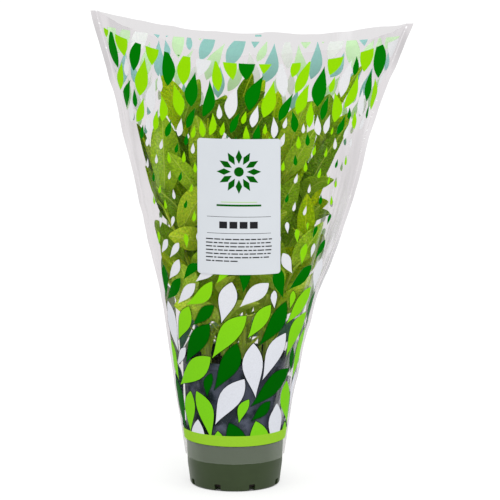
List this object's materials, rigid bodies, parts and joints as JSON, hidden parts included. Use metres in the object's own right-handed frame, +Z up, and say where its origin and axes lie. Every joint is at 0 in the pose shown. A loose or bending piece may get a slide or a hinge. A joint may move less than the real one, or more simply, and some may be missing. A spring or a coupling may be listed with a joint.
{
  "type": "potted sage plant in a film sleeve",
  "caption": "Leafy sage stems growing in a round plastic pot, in a clear cone-shaped film sleeve with a leaf print and a bare front label.",
  "frame": {"origin": "middle of the pot's flat underside, on the surface that it stands on", "axes": "+Z up along the pot's axis; -Y towards the labelled front; +X to the right as seen from the front"},
  "size_m": [0.3034, 0.1353, 0.456],
  "materials": {
    "pot_plastic": "satin thermoformed dark olive plastic",
    "soil": "moist crumbly peat",
    "sage_leaf": "matt, pebbled and finely velvety",
    "film": "clear glossy film with a printed leaf scatter",
    "label_paper": "smooth coated paper"
  },
  "bodies": {
    "root": {"pot": "pot_plastic", "soil": "soil", "sage_stem_01": "sage_leaf", "sage_stem_02": "sage_leaf", "sage_stem_03": "sage_leaf", "sage_stem_04": "sage_leaf", "sage_stem_05": "sage_leaf", "sage_stem_06": "sage_leaf", "sage_stem_07": "sage_leaf", "sage_stem_08": "sage_leaf", "sage_stem_09": "sage_leaf", "sage_stem_10": "sage_leaf", "sage_stem_11": "sage_leaf", "sleeve": "film", "label": "label_paper"}
  },
  "joints": []
}
